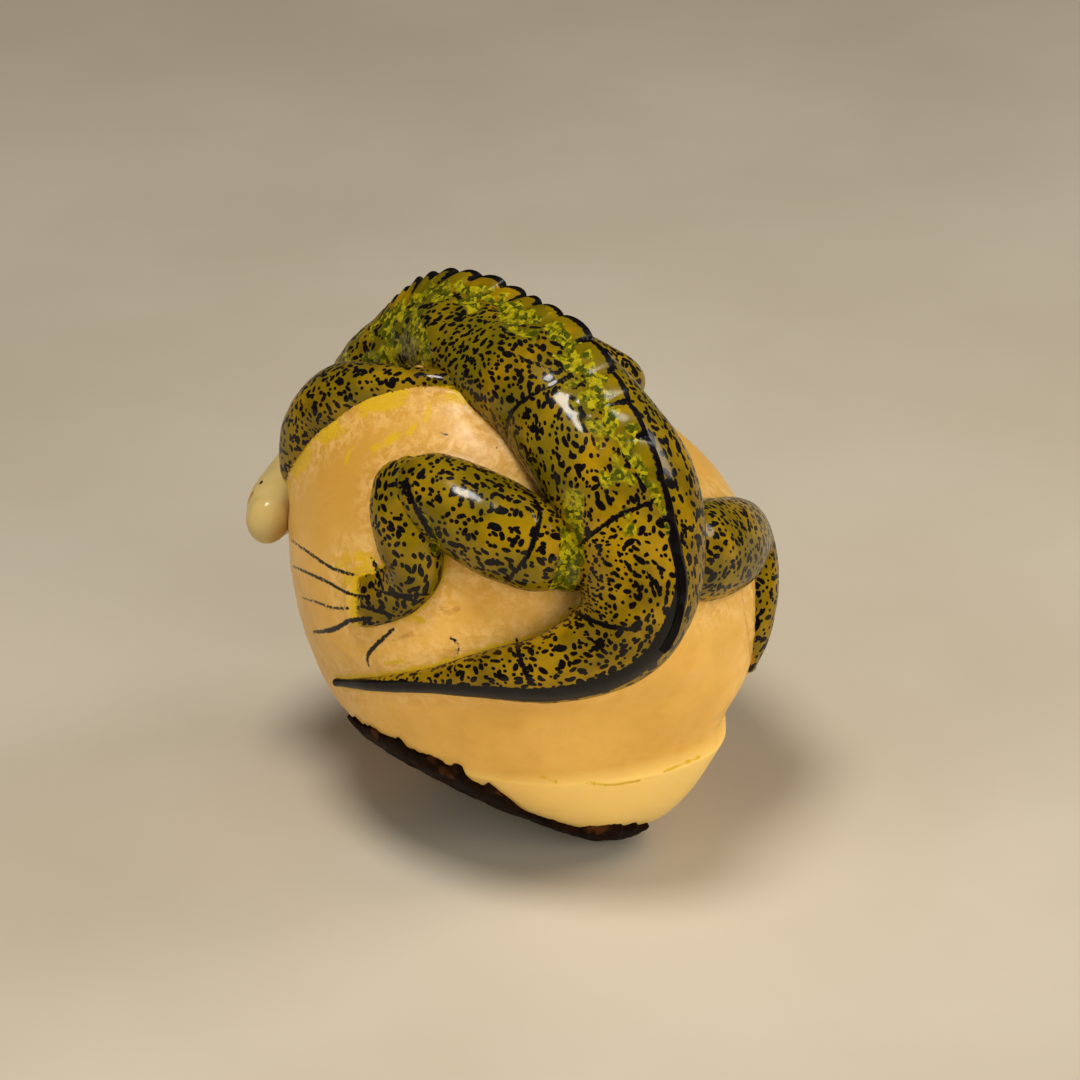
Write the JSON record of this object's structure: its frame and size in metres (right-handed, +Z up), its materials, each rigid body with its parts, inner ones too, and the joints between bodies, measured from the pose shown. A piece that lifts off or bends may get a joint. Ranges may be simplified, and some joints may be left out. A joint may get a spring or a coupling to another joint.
{
  "type": "carved palm nut lizard ornament",
  "caption": "Hand-carved palm nut ornament: a spotted green lizard with a toothed crest lies curled over a pale ivory kernel that stands on a flat foot of dark seed skin.",
  "frame": {"origin": "middle of the flat foot, on the table", "axes": "+Z up from the table; -Y is the side with the bent hind leg and the tail, which the picture shows; the lizard's head hangs down the -X side"},
  "size_m": [0.0481, 0.0461, 0.0523],
  "materials": {
    "ivory": "polished vegetable ivory, warm cream, lacquered",
    "seed_skin": "dark brown seed skin, rough, ragged edge",
    "lizard_skin": "olive yellow-green dye with black pen dots under glossy lacquer",
    "crest": "olive dye, teeth edged with black ink, glossy lacquer",
    "eye": "black ink under glossy lacquer"
  },
  "bodies": {
    "root": {"nut_body": "ivory", "nut_skin": "seed_skin", "head": "lizard_skin", "eyes": "eye", "trunk": "lizard_skin", "tail": "lizard_skin", "crest": "crest", "left_thigh": "lizard_skin", "left_shin": "lizard_skin", "right_thigh": "lizard_skin", "right_shin": "lizard_skin", "left_upper_arm": "lizard_skin", "left_forearm": "lizard_skin", "right_upper_arm": "lizard_skin", "right_forearm": "lizard_skin"}
  },
  "joints": []
}
